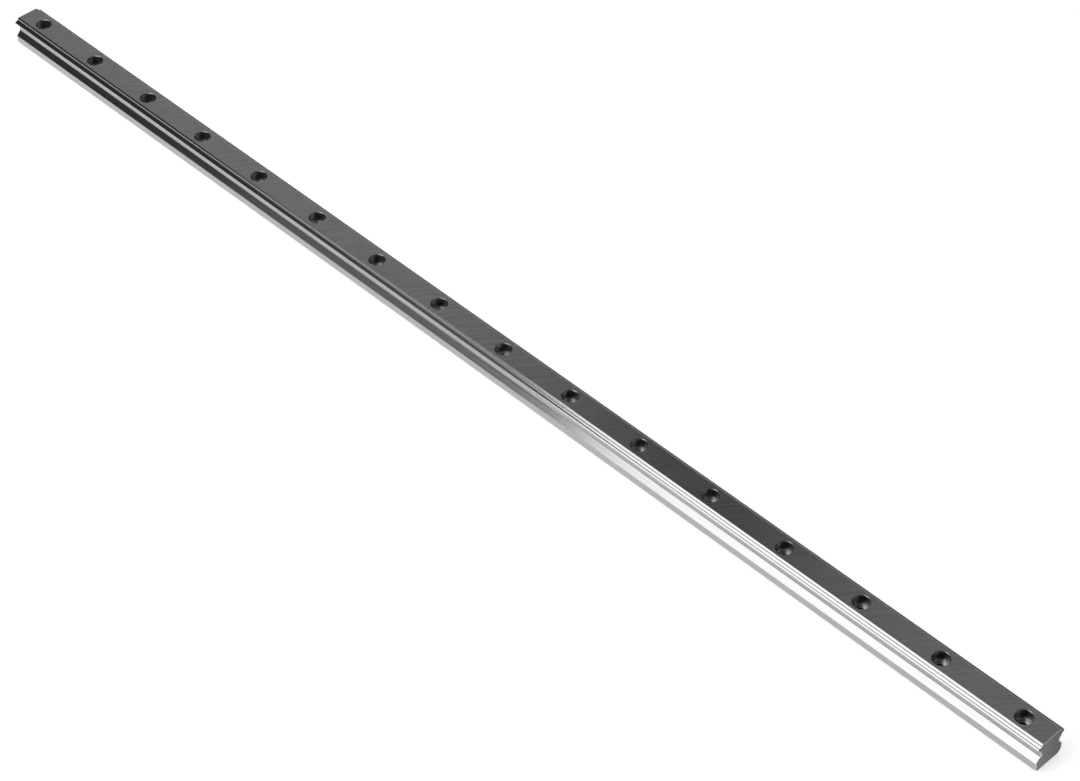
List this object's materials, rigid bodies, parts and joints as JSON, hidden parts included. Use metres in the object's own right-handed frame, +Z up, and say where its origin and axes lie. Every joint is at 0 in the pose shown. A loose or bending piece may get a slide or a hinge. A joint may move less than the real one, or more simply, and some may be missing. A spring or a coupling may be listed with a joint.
{
  "type": "linear guide rail",
  "caption": "Straight profiled steel guide rail with ball raceways along both sides and a row of counterbored screw holes, on which a recirculating-ball carriage runs.",
  "frame": {"origin": "middle of the bottom mounting face, halfway along the rail", "axes": "+X along the rail, +Y across it, +Z up from the mounting face to the top face"},
  "size_m": [0.94, 0.023, 0.022],
  "materials": {
    "ground_steel": "hardened and ground bearing steel, fine grinding marks, bare metal"
  },
  "bodies": {
    "root": {"rail": "ground_steel"}
  },
  "joints": []
}
